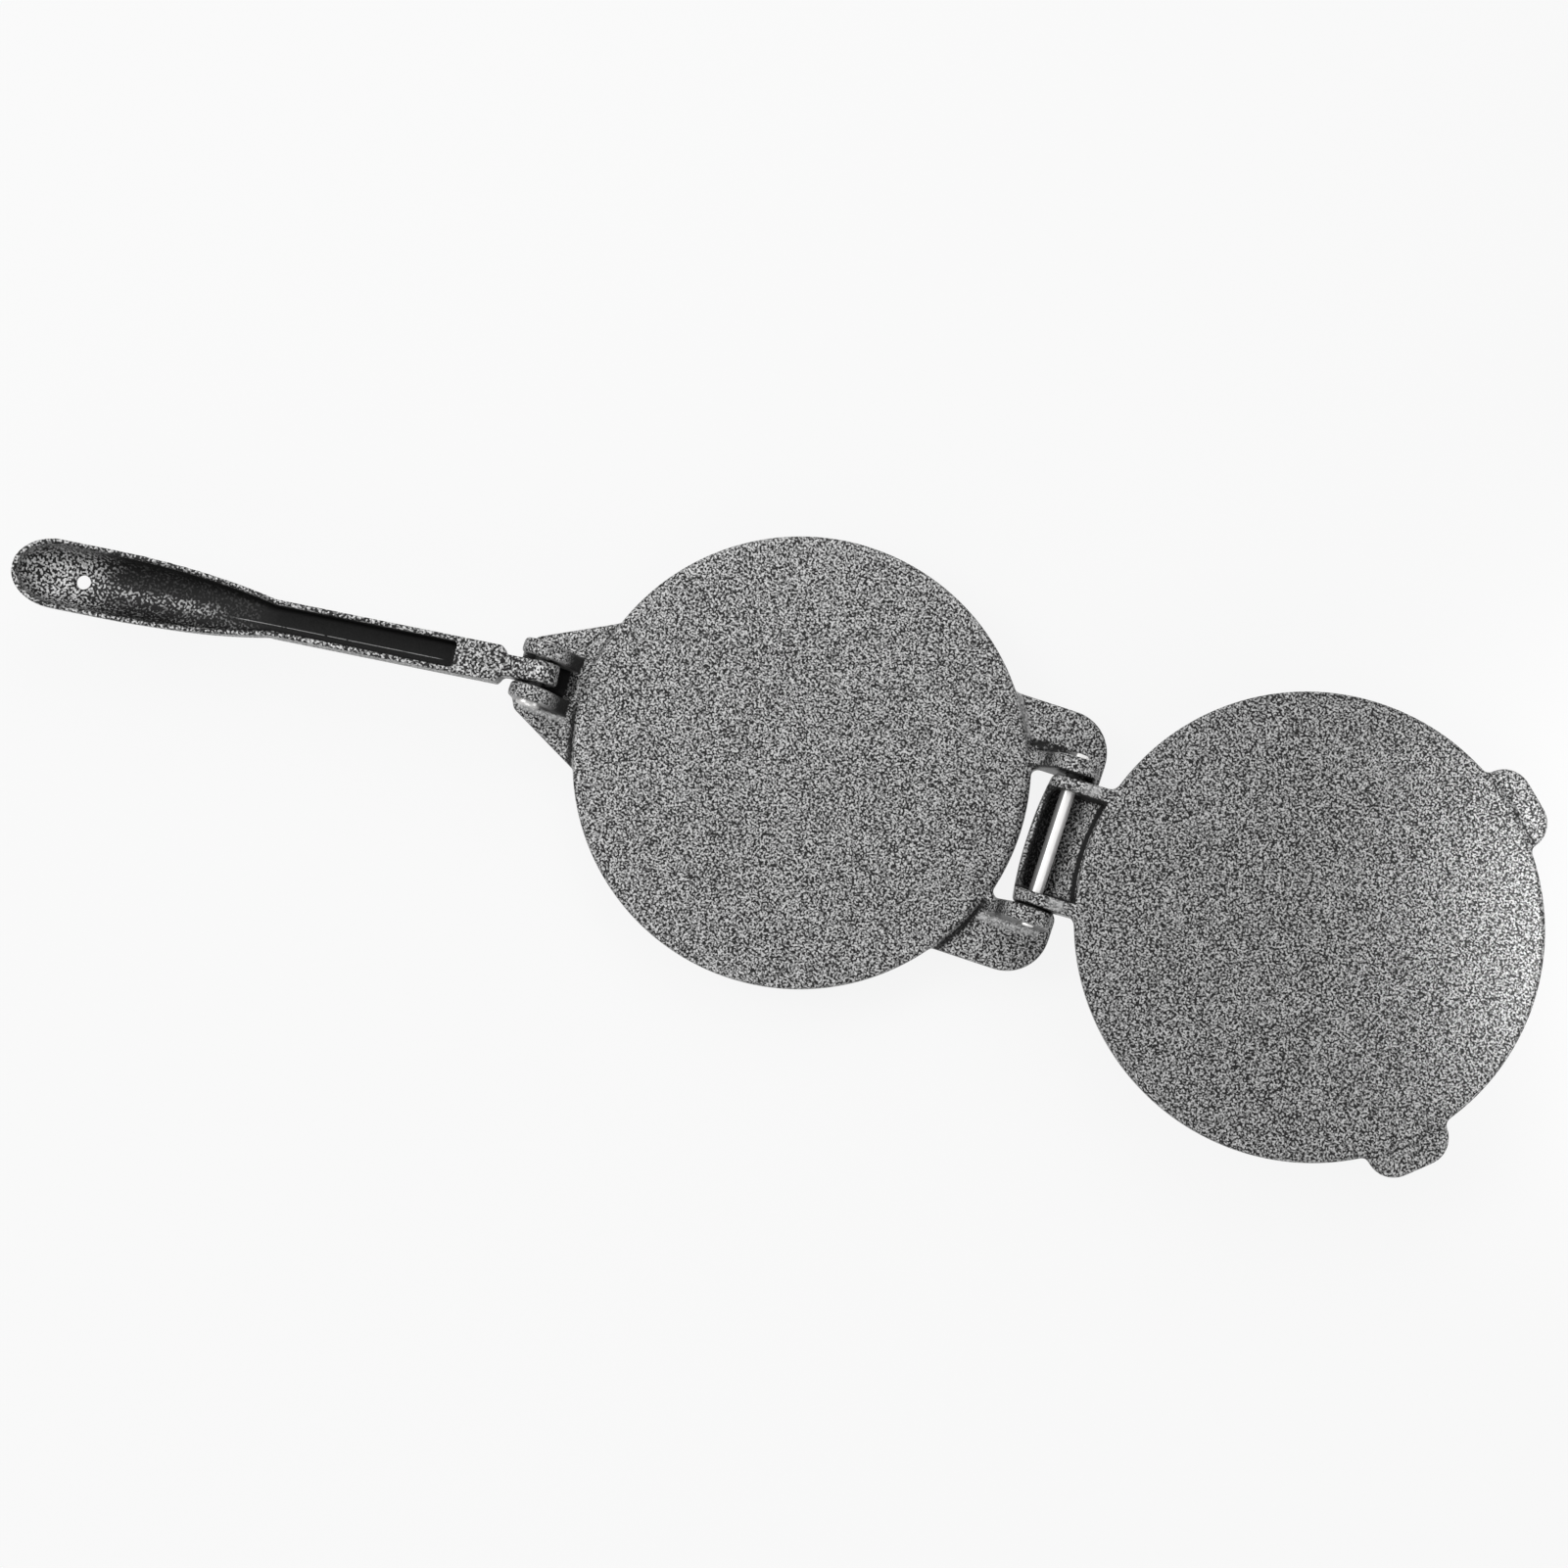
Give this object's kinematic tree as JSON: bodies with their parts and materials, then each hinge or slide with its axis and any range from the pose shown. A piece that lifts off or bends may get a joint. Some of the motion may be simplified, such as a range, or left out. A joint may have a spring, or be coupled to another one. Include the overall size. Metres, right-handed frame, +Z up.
{
  "type": "tortilla press",
  "caption": "Round two-plate cast iron hand press, laid open: base plate on feet with a rear hinge and a front fork, hinged lid with lifting tabs, hollow-gripped lever.",
  "frame": {"origin": "centre of the base plate's pressing face", "axes": "+Z up, square to the pressing face; +X from the lever's fork towards the lid's hinge; the hinge pin lies along Y"},
  "size_m": [0.6868, 0.2024, 0.0479],
  "materials": {
    "hammer_paint": "grey vein-pattern paint over cast iron",
    "bare_steel": "bare bright steel"
  },
  "bodies": {
    "base": {"base_plate": "hammer_paint", "hinge_pin": "bare_steel", "lever_pin": "bare_steel"},
    "lid": {"lid_plate": "hammer_paint"},
    "lever_arm": {"lever": "hammer_paint"}
  },
  "joints": [
    {"name": "lid_hinge", "type": "hinge", "parent": "base", "child": "lid", "pos_m": [0.1155, 0, 0.0125], "axis": [0, -1, 0], "range_deg": [0, 182]},
    {"name": "lever_swing", "type": "hinge", "parent": "base", "child": "lever_arm", "pos_m": [-0.12, 0, 0.012], "axis": [0, 1, 0], "range_deg": [0, 168]}
  ]
}
